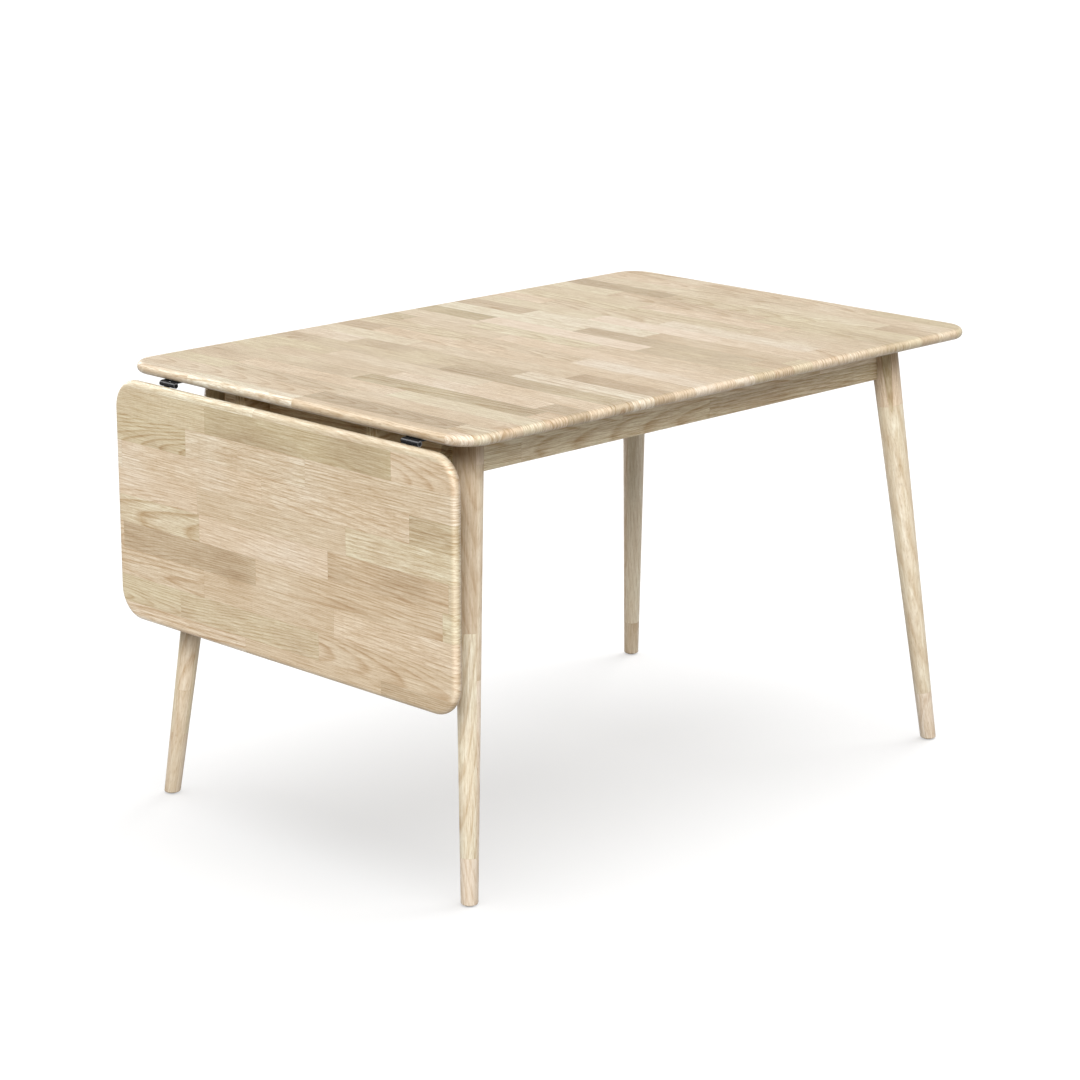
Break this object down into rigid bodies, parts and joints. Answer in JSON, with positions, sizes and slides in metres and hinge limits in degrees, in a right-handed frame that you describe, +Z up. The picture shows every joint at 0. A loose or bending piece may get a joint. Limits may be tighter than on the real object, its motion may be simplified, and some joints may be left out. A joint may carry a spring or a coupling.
{
  "type": "drop-leaf dining table",
  "caption": "Rectangular oak dining table on round tapered splayed legs, with a drop leaf hinged to one short end and flat slides that pull out to hold it up.",
  "frame": {"origin": "on the floor, under the middle of the table with its leaf hanging", "axes": "+X along the table away from the leaf, +Y across it, +Z up"},
  "size_m": [1.224, 0.8, 0.74],
  "materials": {
    "oak_boards": "soaped, stave-laminated",
    "oak_legs": "soaped, turned",
    "oak_rails": "soaped, planed",
    "black_hinge_steel": "satin black",
    "zinc_steel": "bright zinc",
    "glide_plastic": "matte"
  },
  "bodies": {
    "frame": {"bearer_screws": "zinc_steel", "bracket_apron_screws": "zinc_steel", "bracket_top_screws": "zinc_steel", "corner_block_far_front": "oak_rails", "corner_block_far_rear": "oak_rails", "corner_block_leaf_front": "oak_rails", "corner_block_leaf_rear": "oak_rails", "corner_block_screws": "zinc_steel", "cross_rail": "oak_rails", "end_apron_far": "oak_rails", "end_apron_leaf": "oak_rails", "foot_glides": "glide_plastic", "guide_board_screws": "zinc_steel", "hanger_bolts": "zinc_steel", "hanger_nuts": "zinc_steel", "hanger_washers": "zinc_steel", "hinge_pin_front": "black_hinge_steel", "hinge_pin_rear": "black_hinge_steel", "hinge_top_plate_front": "black_hinge_steel", "hinge_top_plate_rear": "black_hinge_steel", "hinge_top_screws": "black_hinge_steel", "leg_far_front": "oak_legs", "leg_far_rear": "oak_legs", "leg_leaf_front": "oak_legs", "leg_leaf_rear": "oak_legs", "long_apron_front": "oak_rails", "long_apron_rear": "oak_rails", "rail_dowels": "oak_rails", "slide_bearer_front": "oak_rails", "slide_bearer_rear": "oak_rails", "slide_guide_board": "oak_rails", "table_top": "oak_boards", "top_brackets": "zinc_steel"},
    "leaf": {"drop_leaf": "oak_boards", "hinge_leaf_plate_front": "black_hinge_steel", "hinge_leaf_plate_rear": "black_hinge_steel", "hinge_leaf_screws": "black_hinge_steel"},
    "slide_front": {"slide_stop_pin_front": "zinc_steel", "support_slide_front": "zinc_steel"},
    "slide_rear": {"slide_stop_pin_rear": "zinc_steel", "support_slide_rear": "zinc_steel"}
  },
  "joints": [
    {"name": "leaf_hinge", "type": "hinge", "parent": "frame", "child": "leaf", "pos_m": [-0.589, 0, 0.717], "axis": [0, 1, 0], "range_deg": [0, 90]},
    {"name": "front_slide", "type": "slide", "parent": "frame", "child": "slide_front", "axis": [-1, 0, 0], "range_m": [0, 0.25]},
    {"name": "rear_slide", "type": "slide", "parent": "frame", "child": "slide_rear", "axis": [-1, 0, 0], "range_m": [0, 0.25]}
  ]
}
